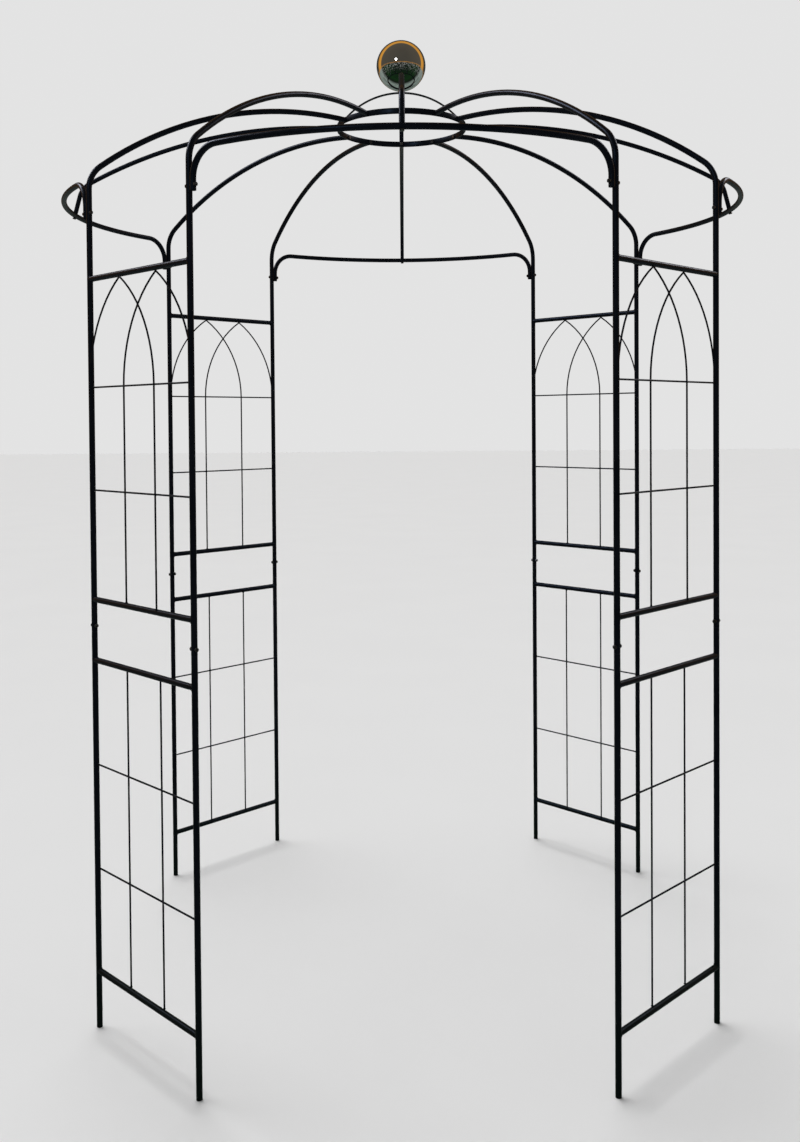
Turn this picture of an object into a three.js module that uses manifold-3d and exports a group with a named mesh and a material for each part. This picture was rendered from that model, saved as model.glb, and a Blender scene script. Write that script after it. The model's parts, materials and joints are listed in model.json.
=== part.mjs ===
// Round birdcage garden arbour of black powder-coated steel tube.
// Four welded trellis panels stand on the diagonals of a circle and leave four entrances between
// them. A bent header spans each entrance, and twelve bent ribs rise from the posts and headers to
// a strap ring at the crown, which carries two crossed strap arches and a mirror ball.
// Millimetres, +Z up. The origin is on the ground at the centre of the post circle, and the front
// entrance faces -Y. Every local frame used below has +X to the right and -Y outwards, as seen by
// someone who stands outside and faces the piece.

import * as THREE from "three";
import { mergeVertices } from "three/addons/utils/BufferGeometryUtils.js";
import Module from "manifold-3d";

const wasm = await Module();
wasm.setup();

// ---------------------------------------------------------------- driving dimensions

const postCircleRadius = 1000;
const panelWidth = 478; // between the two post axes of one panel

const tubeDiameter = 16;
const tubeWall = 1;
const midRibDiameter = 14;
const wireDiameter = 5;

const panelJointHeight = 1100; // where the upper panel slips over the lower one
const panelBoltRise = 17; // of a joint's bolt above its lip
const ribJointHeight = 2230; // where a rib slips over the top of its post
const headerBoltRise = 18;
const spigotLength = 50;

const lowerBottomBarHeight = 158;
const lowerTopBarDrop = 78; // below the panel joint
const lowerWireRows = 2;
const upperBottomBarRise = 89; // above the panel joint
const upperLowWireRise = 301; // above the upper panel's bottom bar
const upperTopBarDrop = 163; // below the rib joint
const pointedArchHeight = 296; // from the upper panel's top wire to its top bar
const wireColumns = 2;

const headerBow = 45; // of the header's middle, beyond the post circle
const headerBendRadius = 75;
const headerLegRise = 4; // of the leg's end, above the rib joint
const headerLegLength = 29; // of its straight part

const ribStraightLength = 81; // from the rib joint to the bend
const ribBendRadius = 85;
const ribSlope = THREE.MathUtils.degToRad(38); // just above the bend, from the horizontal

const midRibLean = THREE.MathUtils.degToRad(15); // of its leg, inwards from the vertical
const midRibLegLength = 62;
const midRibBendRadius = 65;
const midRibSlope = THREE.MathUtils.degToRad(28);

const ringRadius = 203; // to the middle of the strap
const ringThickness = 4;
const ringWidth = 18;
const ringRise = 376; // of the middle of the strap's width, above the rib joint

const archStrapWidth = 14;
const archStrapThickness = 3;
const archFootSlope = THREE.MathUtils.degToRad(56.1); // of a strap just above its foot

const ballDiameter = 156;
const ballWall = 1.5;
const ballNeckDiameter = 22;
const ballNeckHeight = 6;

const boltDiameter = 6;
const boltHeadAcrossFlats = 10;
const boltHeadHeight = 4;
const nutHeight = 5;
const boltTail = 2.5; // thread that shows past a nut
const insertDepth = 26; // of the threaded socket in the end of a rib
const screwReach = 20; // of a screw into that socket

const clearance = 0.3; // between neighbouring pieces

const tubeSides = 10;
const wireSides = 6;
const boltSides = 6;
const ringSides = 36;
const ballSides = 20;

// ---------------------------------------------------------------- values that follow from them

const quarterTurn = Math.PI / 2;
const tubeRadius = tubeDiameter / 2;
const midRibRadius = midRibDiameter / 2;
const wireRadius = wireDiameter / 2;
const halfPanel = panelWidth / 2;
const panelHalfAngle = Math.asin(halfPanel / postCircleRadius);
const panelDistance = postCircleRadius * Math.cos(panelHalfAngle);
const entranceHalfAngle = Math.PI / 4 - panelHalfAngle;
const entranceHalfWidth = postCircleRadius * Math.sin(entranceHalfAngle);
const entranceDistance = postCircleRadius * Math.cos(entranceHalfAngle);

const lowerTopBarHeight = panelJointHeight - lowerTopBarDrop;
const upperBottomBarHeight = panelJointHeight + upperBottomBarRise;
const upperLowWireHeight = upperBottomBarHeight + upperLowWireRise;
const upperTopBarHeight = ribJointHeight - upperTopBarDrop;
const archSpringHeight = upperTopBarHeight - pointedArchHeight; // also the top wire's height

// The bore polygon's flats clear the spigot's corners.
const boreRadius = tubeRadius - tubeWall;
const spigotRadius = boreRadius * Math.cos(Math.PI / tubeSides) - clearance;
const boreDepth = spigotLength + 4;
const boltRadius = boltDiameter / 2;
const boltHoleRadius = (boltRadius + clearance) / Math.cos(Math.PI / boltSides);
const hexRadius = boltHeadAcrossFlats / 2 / Math.cos(Math.PI / 6);

const wireGap = panelWidth / (wireColumns + 1);
const wireStep = wireDiameter - 0.4; // crossing wires sink 0.4 mm into each other at the weld
// A header's leg stands beside its post, in line with the panel. In the entrance frame that line
// lies at 45 degrees.
const headerLegOffset = tubeDiameter + clearance;
const headerLegX = entranceHalfWidth - headerLegOffset * Math.SQRT1_2;
const headerLegDistance = entranceDistance + headerLegOffset * Math.SQRT1_2;
const headerLegEnd = ribJointHeight + headerLegRise;
const headerHeight = headerLegEnd + headerLegLength + headerBendRadius;
const headerReach = postCircleRadius + headerBow;
const ringHeight = ribJointHeight + ringRise;

// The ring is a polygon: its flats lie inside its corners.
const ringFlat = Math.cos(Math.PI / ringSides);
const ringOuter = ringRadius + ringThickness / 2;
const ringInnerFlat = (ringRadius - ringThickness / 2) * ringFlat;
const archFootFace = ringInnerFlat - clearance; // outer face of the strap feet

// The underside of a strap starts to bend just above the head of its foot's screw.
const archFootTop = ringHeight + hexRadius + clearance;
const archUnderside = archFootFace - archStrapThickness;
const archInnerRadius = archUnderside / Math.sin(archFootSlope);
const archCentre = archFootTop - archInnerRadius * Math.cos(archFootSlope);
const archOuterRadius = archInnerRadius + archStrapThickness;
const archTop = archCentre + archOuterRadius;

const ballRadius = ballDiameter / 2;
const ballNeckRadius = ballNeckDiameter / 2;
const ballNeckTop = clearance + ballNeckHeight; // above the strap arches
const ballCentre = ballNeckTop + Math.sqrt(ballRadius ** 2 - ballNeckRadius ** 2);

// ---------------------------------------------------------------- materials

const powderCoat = new THREE.MeshStandardMaterial({ color: 0x15181c, roughness: 0.45, metalness: 0.35 });
const blackZinc = new THREE.MeshStandardMaterial({ color: 0x24262a, roughness: 0.4, metalness: 0.8 });
const mirror = new THREE.MeshStandardMaterial({ color: 0xd9dadc, roughness: 0.04, metalness: 1 });

// ---------------------------------------------------------------- solids

function toSolid(geometry) {
  const bare = geometry.clone();
  bare.deleteAttribute("normal");
  bare.deleteAttribute("uv");
  const merged = mergeVertices(bare, 1e-4);
  const corners = Array.from(merged.index.array);
  const triangles = [];
  for (let first = 0; first < corners.length; first += 3) {
    const [a, b, c] = corners.slice(first, first + 3);
    if (a !== b && b !== c && c !== a) {
      triangles.push(a, b, c);
    }
  }
  const mesh = new wasm.Mesh({
    numProp: 3,
    vertProperties: new Float32Array(merged.attributes.position.array),
    triVerts: new Uint32Array(triangles),
  });
  return new wasm.Manifold(mesh);
}

function toGeometry(solid) {
  const mesh = solid.getMesh();
  const geometry = new THREE.BufferGeometry();
  geometry.setAttribute("position", new THREE.BufferAttribute(new Float32Array(mesh.vertProperties), 3));
  geometry.setIndex(new THREE.BufferAttribute(new Uint32Array(mesh.triVerts), 1));
  geometry.computeVertexNormals();
  return geometry;
}

function joined(parts) {
  return parts.reduce((whole, part) => whole.add(part));
}

function cut(solid, cutters) {
  return cutters.reduce((rest, cutter) => rest.subtract(cutter), solid);
}

// A path as a tube bender makes it: straight runs, and bends of one radius about one axis.
class BentPath extends THREE.Curve {
  constructor(start, direction) {
    super();
    this.points = [start.clone()];
    this.tangents = [direction.clone().normalize()];
  }

  straight(length) {
    const direction = this.tangents.at(-1);
    this.points.push(this.points.at(-1).clone().addScaledVector(direction, length));
    this.tangents.push(direction.clone());
    return this;
  }

  bend(radius, angle, axis, steps) {
    const start = this.points.at(-1);
    const direction = this.tangents.at(-1);
    const centre = start.clone().addScaledVector(axis.clone().cross(direction), radius);
    const arm = start.clone().sub(centre);
    for (let step = 1; step <= steps; step += 1) {
      const turn = (angle * step) / steps;
      this.points.push(arm.clone().applyAxisAngle(axis, turn).add(centre));
      this.tangents.push(direction.clone().applyAxisAngle(axis, turn));
    }
    return this;
  }

  get steps() {
    return this.points.length - 1;
  }

  getPoint(t) {
    return this.points[Math.round(t * this.steps)].clone();
  }

  getPointAt(t) {
    return this.getPoint(t);
  }

  getTangentAt(t) {
    return this.tangents[Math.round(t * this.steps)].clone();
  }
}

function roundSection(radius, sides) {
  const corners = [];
  for (let side = 0; side < sides; side += 1) {
    const angle = (2 * Math.PI * side) / sides;
    corners.push(new THREE.Vector2(radius * Math.cos(angle), radius * Math.sin(angle)));
  }
  return new THREE.Shape(corners);
}

function rodAlong(path, radius, sides) {
  const options = { steps: path.steps, bevelEnabled: false, extrudePath: path };
  return toSolid(new THREE.ExtrudeGeometry(roundSection(radius, sides), options));
}

function rod(from, to, radius, sides) {
  const path = new BentPath(from, to.clone().sub(from)).straight(from.distanceTo(to));
  return rodAlong(path, radius, sides);
}

function point(x, y, z) {
  return new THREE.Vector3(x, y, z);
}

// ---------------------------------------------------------------- fasteners

// A hole for a bolt, along direction in both senses from its middle.
function boltHole(middle, direction, halfLength = 3 * tubeDiameter) {
  const reach = direction.clone().setLength(halfLength);
  return rod(middle.clone().sub(reach), middle.clone().add(reach), boltHoleRadius, boltSides);
}

// A bolt with its nut run on, along +X: the head is left of x = 0 and the nut right of x = grip.
function boltWithNut(grip) {
  const seat = clearance;
  const head = rod(point(-seat - boltHeadHeight, 0, 0), point(-seat, 0, 0), hexRadius, 6);
  const nut = rod(point(grip + seat, 0, 0), point(grip + seat + nutHeight, 0, 0), hexRadius, 6);
  const end = grip + seat + nutHeight + boltTail;
  const shank = rod(point(-seat - 1, 0, 0), point(end, 0, 0), boltRadius, boltSides);
  return joined([head, nut, shank]);
}

// A screw along +X into a threaded socket: its head is left of x = 0.
function screw(reach) {
  const head = rod(point(-clearance - boltHeadHeight, 0, 0), point(-clearance, 0, 0), hexRadius, 6);
  const shank = rod(point(-clearance - 1, 0, 0), point(reach, 0, 0), boltRadius, boltSides);
  return head.add(shank);
}

// ---------------------------------------------------------------- trellis panels

// Panel frame: the panel's plane is y = 0, and its two posts are at x = +/- halfPanel.
const bothSides = [-1, 1];

function post(side, bottom, top) {
  const x = side * halfPanel;
  const tube = rod(point(x, 0, bottom), point(x, 0, top), tubeRadius, tubeSides);
  const spigot = rod(point(x, 0, top - 1), point(x, 0, top + spigotLength), spigotRadius, tubeSides);
  return tube.add(spigot);
}

function crossbar(height, radius = tubeRadius, sides = tubeSides) {
  return rod(point(-halfPanel, 0, height), point(halfPanel, 0, height), radius, sides);
}

function lowerPanel() {
  const bay = (lowerTopBarHeight - lowerBottomBarHeight) / (lowerWireRows + 1);
  const parts = bothSides.map((side) => post(side, 0, panelJointHeight - clearance));
  parts.push(crossbar(lowerBottomBarHeight), crossbar(lowerTopBarHeight));
  for (let row = 1; row <= lowerWireRows; row += 1) {
    parts.push(crossbar(lowerBottomBarHeight + row * bay, wireRadius, wireSides));
  }
  for (let column = 1; column <= wireColumns; column += 1) {
    const x = -halfPanel + column * wireGap;
    const foot = point(x, wireStep, lowerBottomBarHeight);
    parts.push(rod(foot, point(x, wireStep, lowerTopBarHeight), wireRadius, wireSides));
  }
  const joints = bothSides.map((side) => panelJointHole(side));
  return cut(joined(parts), joints);
}

function panelJointHole(side) {
  return boltHole(point(side * halfPanel, 0, panelJointHeight + panelBoltRise), point(1, 0, 0));
}

// One side of a pointed arch: a wire that rises from foot and leans over to the arch's point.
function archSide(footX, footHeight, y, towards) {
  const rise = pointedArchHeight - tubeRadius;
  const radius = (wireGap ** 2 + rise ** 2) / (2 * wireGap);
  const path = new BentPath(point(footX, y, footHeight), point(0, 0, 1));
  if (footHeight < archSpringHeight) {
    path.straight(archSpringHeight - footHeight);
  }
  path.bend(radius, Math.acos(1 - wireGap / radius), point(0, towards, 0), 7);
  return rodAlong(path, wireRadius, wireSides);
}

function upperPanel() {
  const parts = bothSides.map((side) => post(side, panelJointHeight, ribJointHeight - clearance));
  parts.push(crossbar(upperBottomBarHeight), crossbar(upperTopBarHeight));
  parts.push(crossbar(upperLowWireHeight, wireRadius, wireSides));
  parts.push(crossbar(archSpringHeight, wireRadius, wireSides));
  for (const side of bothSides) {
    // The arch next to the post on this side, in front of the wires or behind them.
    const y = side * wireStep;
    parts.push(archSide(side * halfPanel, archSpringHeight, y, -side));
    parts.push(archSide(-side * (halfPanel - wireGap), upperBottomBarHeight, y, side));
  }
  const cutters = [];
  for (const side of bothSides) {
    const x = side * halfPanel;
    const mouth = point(x, 0, panelJointHeight - 1);
    cutters.push(rod(mouth, point(x, 0, panelJointHeight + boreDepth), boreRadius, tubeSides));
    cutters.push(panelJointHole(side));
    cutters.push(boltHole(point(x, 0, ribJointHeight + headerBoltRise), point(1, 0, 0)));
  }
  return cut(joined(parts), cutters);
}

// ---------------------------------------------------------------- headers

// Entrance frame: the posts are at x = +/- entranceHalfWidth, y = -entranceDistance.
const down = point(0, 0, -1);
const up = point(0, 0, 1);

function headerPath() {
  const bulge = headerReach - headerLegDistance;
  // Half the turn of the arc in plan, which leaves each corner bend along its tangent.
  const flare = 2 * Math.atan(bulge / (headerLegX + headerBendRadius));
  const arcRadius = (headerLegX - headerBendRadius * Math.cos(flare)) / Math.sin(flare);
  const out = point(Math.cos(flare), -Math.sin(flare), 0);
  const back = point(Math.cos(flare), Math.sin(flare), 0);
  return new BentPath(point(-headerLegX, -headerLegDistance, headerLegEnd), up)
    .straight(headerLegLength)
    .bend(headerBendRadius, quarterTurn, up.clone().cross(out), 4)
    .bend(arcRadius, 2 * flare, up, 10)
    .bend(headerBendRadius, quarterTurn, back.clone().cross(down), 4)
    .straight(headerLegLength);
}

function header() {
  const cutters = [boltHole(headerMiddle, midRibLegDirection, tubeDiameter)];
  for (const side of bothSides) {
    const middle = point(side * headerLegX, -headerLegDistance, ribJointHeight + headerBoltRise);
    cutters.push(boltHole(middle, point(1, side, 0), tubeDiameter));
  }
  return cut(rodAlong(headerPath(), tubeRadius, tubeSides), cutters);
}

// ---------------------------------------------------------------- ribs

// Rib frame: the rib lies in the plane x = 0 and ends against the ring at y = -ringOuter.
const headerMiddle = point(0, -headerReach, headerHeight);
const midRibLegDirection = point(0, Math.sin(midRibLean), Math.cos(midRibLean));
const ribBendAxis = point(-1, 0, 0);
const ribSink = 3; // of a rib's path into the ring, before its end is coped to the ring

// Finishes a rib's path with one long arc that leaves at slope and lands on the ring.
function arcToRing(path, slope) {
  const start = path.points.at(-1);
  const run = -(ringOuter - ribSink) - start.y;
  const rise = ringHeight - start.z;
  const endSlope = 2 * Math.atan2(rise, run) - slope;
  const radius = run / (Math.sin(slope) - Math.sin(endSlope));
  return path.bend(radius, slope - endSlope, ribBendAxis, 7);
}

function ringCope() {
  const radius = (ringOuter + clearance) / ringFlat;
  const disc = new THREE.CylinderGeometry(radius, radius, 3 * tubeDiameter, ringSides);
  disc.rotateX(quarterTurn);
  disc.translate(0, 0, ringHeight);
  return toSolid(disc);
}

function ringSocket() {
  const mouth = point(0, -ringOuter + 1, ringHeight);
  return rod(mouth, point(0, -ringOuter - insertDepth, ringHeight), boltHoleRadius, boltSides);
}

function postRib(side) {
  const path = new BentPath(point(0, -postCircleRadius, ribJointHeight), up)
    .straight(ribStraightLength)
    .bend(ribBendRadius, quarterTurn - ribSlope, ribBendAxis, 4);
  const tube = rodAlong(arcToRing(path, ribSlope), tubeRadius, tubeSides);
  const mouth = point(0, -postCircleRadius, ribJointHeight - 1);
  const bore = rod(mouth, point(0, -postCircleRadius, ribJointHeight + boreDepth), boreRadius, tubeSides);
  const alongPanel = point(Math.cos(panelHalfAngle), side * Math.sin(panelHalfAngle), 0);
  const bolt = point(0, -postCircleRadius, ribJointHeight + headerBoltRise);
  return cut(tube, [bore, boltHole(bolt, alongPanel, tubeDiameter), ringCope(), ringSocket()]);
}

function midRib() {
  const path = new BentPath(headerMiddle, midRibLegDirection)
    .straight(midRibLegLength)
    .bend(midRibBendRadius, quarterTurn - midRibLean - midRibSlope, ribBendAxis, 4);
  const tube = rodAlong(arcToRing(path, midRibSlope), midRibRadius, tubeSides);
  const across = point(2 * tubeDiameter, 0, 0);
  const saddleRadius = (tubeRadius + clearance) / Math.cos(Math.PI / tubeSides);
  const saddle = rod(headerMiddle.clone().sub(across), headerMiddle.clone().add(across), saddleRadius, 20);
  const socketEnd = headerMiddle.clone().addScaledVector(midRibLegDirection, tubeRadius + insertDepth);
  const socket = rod(headerMiddle, socketEnd, boltHoleRadius, boltSides);
  return cut(tube, [saddle, socket, ringCope(), ringSocket()]);
}

// ---------------------------------------------------------------- crown

const ribAngles = [-entranceHalfAngle, 0, entranceHalfAngle]; // of the ribs in one quarter

function crownRing() {
  const inner = ringRadius - ringThickness / 2;
  const low = -ringWidth / 2;
  const high = ringWidth / 2;
  const corners = [
    [inner, low],
    [ringOuter, low],
    [ringOuter, high],
    [inner, high],
    [inner, low],
  ];
  const profile = corners.map(([radius, height]) => new THREE.Vector2(radius, height));
  const ring = new THREE.LatheGeometry(profile, ringSides);
  ring.rotateX(quarterTurn);
  ring.translate(0, 0, ringHeight);
  const holes = [];
  for (let quarter = 0; quarter < 4; quarter += 1) {
    for (const ribAngle of ribAngles) {
      const angle = quarter * quarterTurn + ribAngle;
      const outwards = point(Math.sin(angle), -Math.cos(angle), 0);
      const middle = point(0, 0, ringHeight).addScaledVector(outwards, ringRadius);
      holes.push(boltHole(middle, outwards, tubeDiameter));
    }
  }
  return cut(toSolid(ring), holes);
}

// One strap arch in the plane y = 0, with a foot turned down at each end.
function strapArch() {
  const outerAngle = Math.acos(archFootFace / archOuterRadius);
  const innerAngle = Math.PI / 2 - archFootSlope;
  const footBottom = ringHeight - ringWidth / 2;
  const outline = new THREE.Shape();
  outline.moveTo(archFootFace, footBottom);
  outline.absarc(0, archCentre, archOuterRadius, outerAngle, Math.PI - outerAngle, false);
  outline.lineTo(-archFootFace, footBottom);
  outline.lineTo(-archUnderside, footBottom);
  outline.absarc(0, archCentre, archInnerRadius, Math.PI - innerAngle, innerAngle, true);
  outline.lineTo(archUnderside, footBottom);
  outline.closePath();
  const options = { depth: archStrapWidth, bevelEnabled: false, curveSegments: 14 };
  const strap = new THREE.ExtrudeGeometry(outline, options);
  strap.translate(0, 0, -archStrapWidth / 2);
  strap.rotateX(quarterTurn);
  return toSolid(strap);
}

function finialStand() {
  const one = strapArch();
  const straps = one.add(one.rotate([0, 0, 90]));
  const footHole = ringHeight;
  return cut(straps, [
    rod(point(0, 0, archTop - ringWidth), point(0, 0, archTop + ringWidth), boltHoleRadius, boltSides),
    rod(point(-ringOuter, 0, footHole), point(ringOuter, 0, footHole), boltHoleRadius, boltSides),
    rod(point(0, -ringOuter, footHole), point(0, ringOuter, footHole), boltHoleRadius, boltSides),
  ]);
}

// Profile points of a sphere, from fromAngle to toAngle measured at its lowest point.
function sphereRows(centre, radius, fromAngle, toAngle, rows) {
  const points = [];
  for (let row = 0; row <= rows; row += 1) {
    const angle = fromAngle + ((toAngle - fromAngle) * row) / rows;
    const across = Math.abs(angle - Math.PI) < 1e-6 ? 0 : radius * Math.sin(angle);
    points.push(new THREE.Vector2(across, centre - radius * Math.cos(angle)));
  }
  return points;
}

// Ball frame: the origin is on the top of the strap arches. The ball is a hollow shell on a neck
// whose bore takes a screw from below.
function gazingBall() {
  const neckAngle = Math.asin(ballNeckRadius / ballRadius);
  const innerRadius = ballRadius - ballWall;
  const boreAngle = Math.asin(boltHoleRadius / innerRadius);
  const profile = [
    ...sphereRows(ballCentre, innerRadius, Math.PI, boreAngle, 8),
    new THREE.Vector2(boltHoleRadius, clearance),
    new THREE.Vector2(ballNeckRadius, clearance),
    ...sphereRows(ballCentre, ballRadius, neckAngle, Math.PI, 12),
  ];
  const ball = new THREE.LatheGeometry(profile, ballSides);
  ball.rotateX(quarterTurn);
  return toSolid(ball);
}

// ---------------------------------------------------------------- assembly

function piece(name, geometry, material) {
  const mesh = new THREE.Mesh(geometry, material);
  mesh.name = name;
  return mesh;
}

function frame(turn = 0) {
  const group = new THREE.Group();
  group.rotation.z = turn;
  return group;
}

const geometries = {
  lowerPanel: toGeometry(lowerPanel()),
  upperPanel: toGeometry(upperPanel()),
  header: toGeometry(header()),
  leftRib: toGeometry(postRib(-1)),
  rightRib: toGeometry(postRib(1)),
  midRib: toGeometry(midRib()),
  panelBolt: toGeometry(boltWithNut(tubeDiameter)),
  headerBolt: toGeometry(boltWithNut(tubeDiameter + headerLegOffset)),
  midRibScrew: toGeometry(screw(tubeDiameter + screwReach)),
  ribScrew: toGeometry(screw(ringOuter + screwReach - ringInnerFlat)),
  footScrew: toGeometry(screw(ringOuter + screwReach - archUnderside)),
  ballScrew: toGeometry(screw(archStrapThickness + ballNeckTop + screwReach / 2)),
};

const sideNames = [
  ["left", -1],
  ["right", 1],
];

// Panel frame, moved out so that the posts stand on the post circle.
function cornerPieces(corner) {
  const group = frame();
  group.position.y = -panelDistance;
  group.add(piece(`lower_panel_${corner}`, geometries.lowerPanel, powderCoat));
  group.add(piece(`upper_panel_${corner}`, geometries.upperPanel, powderCoat));
  for (const [sideName, side] of sideNames) {
    const bolt = piece(`panel_bolt_${corner}_${sideName}`, geometries.panelBolt, blackZinc);
    bolt.position.set(side * (halfPanel + tubeRadius), 0, panelJointHeight + panelBoltRise);
    bolt.rotation.z = side > 0 ? Math.PI : 0;
    group.add(bolt);
  }
  return group;
}

// A screw that points out through the ring, for the rib at angle in an entrance frame.
function ringScrew(name, geometry, angle, seat) {
  const mesh = piece(name, geometry, blackZinc);
  mesh.position.set(0, -seat, ringHeight);
  mesh.rotation.z = -quarterTurn;
  return frame(angle).add(mesh);
}

function entrancePieces(entrance) {
  const group = frame();
  group.add(piece(`header_${entrance}`, geometries.header, powderCoat));
  group.add(piece(`mid_rib_${entrance}`, geometries.midRib, powderCoat));
  group.add(ringScrew(`ring_screw_${entrance}_middle`, geometries.footScrew, 0, archUnderside));

  const midScrew = piece(`mid_rib_screw_${entrance}`, geometries.midRibScrew, blackZinc);
  midScrew.position.copy(headerMiddle).addScaledVector(midRibLegDirection, -tubeRadius);
  midScrew.quaternion.setFromUnitVectors(point(1, 0, 0), midRibLegDirection);
  group.add(midScrew);

  for (const [sideName, side] of sideNames) {
    const turn = side * entranceHalfAngle;
    const ribGeometry = side < 0 ? geometries.leftRib : geometries.rightRib;
    const rib = frame(turn).add(piece(`rib_${entrance}_${sideName}`, ribGeometry, powderCoat));
    const screwName = `ring_screw_${entrance}_${sideName}`;
    const ribScrew = ringScrew(screwName, geometries.ribScrew, turn, ringInnerFlat);
    const bolt = piece(`header_bolt_${entrance}_${sideName}`, geometries.headerBolt, blackZinc);
    const toPanel = point(side, 1, 0).setLength(tubeRadius);
    bolt.position.set(side * entranceHalfWidth, -entranceDistance, ribJointHeight + headerBoltRise);
    bolt.position.add(toPanel);
    bolt.rotation.z = -quarterTurn - side * (quarterTurn / 2);
    group.add(rib, ribScrew, bolt);
  }
  return group;
}

const arbour = new THREE.Group();
const entrances = ["front", "right", "back", "left"];
const corners = ["front_right", "back_right", "back_left", "front_left"];
for (let quarter = 0; quarter < 4; quarter += 1) {
  const turn = quarter * quarterTurn;
  arbour.add(frame(turn).add(entrancePieces(entrances[quarter])));
  arbour.add(frame(turn + quarterTurn / 2).add(cornerPieces(corners[quarter])));
}
arbour.add(piece("crown_ring", toGeometry(crownRing()), powderCoat));
arbour.add(piece("finial_stand", toGeometry(finialStand()), powderCoat));

const ball = piece("gazing_ball", toGeometry(gazingBall()), mirror);
ball.position.z = archTop;
const ballScrew = piece("ball_screw", geometries.ballScrew, blackZinc);
ballScrew.position.z = archTop - archStrapThickness;
ballScrew.rotation.y = -quarterTurn;
arbour.add(ball, ballScrew);

export default arbour;
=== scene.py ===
"""Looks of the round birdcage garden arbour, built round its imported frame.

Every CAD node gets a finer piece in the same place: smooth bent tube with bevelled and open ends,
weld beads where bars and wires meet, threaded fasteners, the strap crown and the mirror ball.
Metres, +Z up. The front entrance faces -Y. Every local frame has +X to the right and -Y outwards,
as seen by someone who stands outside and faces the piece.
"""

import json
import math

import bpy
from mathutils import Matrix, Quaternion, Vector


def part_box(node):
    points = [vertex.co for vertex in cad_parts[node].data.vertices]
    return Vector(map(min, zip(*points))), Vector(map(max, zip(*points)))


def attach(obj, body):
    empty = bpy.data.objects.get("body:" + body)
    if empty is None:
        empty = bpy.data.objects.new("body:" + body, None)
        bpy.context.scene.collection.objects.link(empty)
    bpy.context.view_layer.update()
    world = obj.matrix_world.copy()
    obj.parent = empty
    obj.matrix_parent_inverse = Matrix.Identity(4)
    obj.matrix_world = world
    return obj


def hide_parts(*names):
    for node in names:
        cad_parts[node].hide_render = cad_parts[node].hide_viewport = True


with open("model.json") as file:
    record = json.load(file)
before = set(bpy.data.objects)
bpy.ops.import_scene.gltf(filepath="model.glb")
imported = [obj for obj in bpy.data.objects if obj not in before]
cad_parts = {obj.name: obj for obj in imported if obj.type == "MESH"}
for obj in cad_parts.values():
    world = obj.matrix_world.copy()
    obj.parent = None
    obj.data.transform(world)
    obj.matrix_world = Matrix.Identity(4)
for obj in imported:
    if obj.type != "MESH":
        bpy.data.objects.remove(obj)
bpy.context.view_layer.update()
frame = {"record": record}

# ---------------------------------------------------------------- places read from the frame

MOUNTS = {mount["name"]: Vector(mount["pos_m"]) for mount in frame["record"]["mounts"]}
LEFT_FOOT = MOUNTS["foot_front_left"]
RIGHT_FOOT = MOUNTS["foot_front_right"]
NEXT_FOOT = MOUNTS["foot_right_left"]

POST_CIRCLE = LEFT_FOOT.length
ENTRANCE_HALF_WIDTH = RIGHT_FOOT.x
ENTRANCE_DISTANCE = -RIGHT_FOOT.y
HALF_PANEL = (NEXT_FOOT - RIGHT_FOOT).length / 2
PANEL_DISTANCE = ((NEXT_FOOT + RIGHT_FOOT) / 2).length
ENTRANCE_HALF_ANGLE = math.atan2(ENTRANCE_HALF_WIDTH, ENTRANCE_DISTANCE)

PANEL_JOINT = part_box("upper_panel_front_right")[0].z
RIB_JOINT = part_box("rib_front_left")[0].z
HEADER_LEG_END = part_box("header_front")[0].z
PANEL_BOLT_HEIGHT = sum(corner.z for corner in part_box("panel_bolt_front_right_left")) / 2
HEADER_BOLT_HEIGHT = sum(corner.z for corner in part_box("header_bolt_front_left")) / 2

RING_LOW, RING_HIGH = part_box("crown_ring")
RING_OUTER = RING_HIGH.x
RING_HEIGHT = (RING_LOW.z + RING_HIGH.z) / 2
RING_WIDTH = RING_HIGH.z - RING_LOW.z
ARCH_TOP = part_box("finial_stand")[1].z
BALL_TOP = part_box("gazing_ball")[1].z

# ---------------------------------------------------------------- driving dimensions

MM = 0.001
TUBE_RADIUS = 8 * MM
TUBE_WALL = 1 * MM
MID_RIB_RADIUS = 7 * MM
WIRE_RADIUS = 2.5 * MM
CLEARANCE = 0.3 * MM

LOWER_BOTTOM_BAR = 158 * MM
LOWER_TOP_BAR = PANEL_JOINT - 78 * MM
LOWER_WIRE_ROWS = 2
UPPER_BOTTOM_BAR = PANEL_JOINT + 89 * MM
UPPER_LOW_WIRE = UPPER_BOTTOM_BAR + 301 * MM
UPPER_TOP_BAR = RIB_JOINT - 163 * MM
POINTED_ARCH_HEIGHT = 296 * MM
ARCH_SPRING = UPPER_TOP_BAR - POINTED_ARCH_HEIGHT
WIRE_GAP = 2 * HALF_PANEL / 3
WIRE_STEP = 2 * WIRE_RADIUS - 0.4 * MM
SPIGOT_LENGTH = 50 * MM
SPIGOT_OVERLAP = 2 * MM  # how far a spigot starts inside its post
SOCKET_DEPTH = SPIGOT_LENGTH + 4 * MM

TUBE_WELD = 3.4 * MM
WIRE_WELD = 1.6 * MM
WELD_ROOT = 0.3 * MM  # how far a bead's toes run into the metal
WELD_CORE = 1.2 * MM  # how far a bead's hidden corner lies inside the bar
WELD_DEPTH = 0.8 * MM  # and inside the host
WELD_STEPS = 24
NUGGET = 2.9 * MM
NUGGET_DROP = 1 * MM  # of the blob at an arch's point, below the wire's end
NUGGET_RISE = 2 * MM  # of the blob at an outer arch's foot, above the wire's end
NUGGET_ROWS = 6

HEADER_REACH = POST_CIRCLE + 45 * MM
HEADER_BEND = 75 * MM
HEADER_LEG = 29 * MM
HEADER_HEIGHT = HEADER_LEG_END + HEADER_LEG + HEADER_BEND
HEADER_LEG_OFFSET = 2 * TUBE_RADIUS + CLEARANCE
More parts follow.
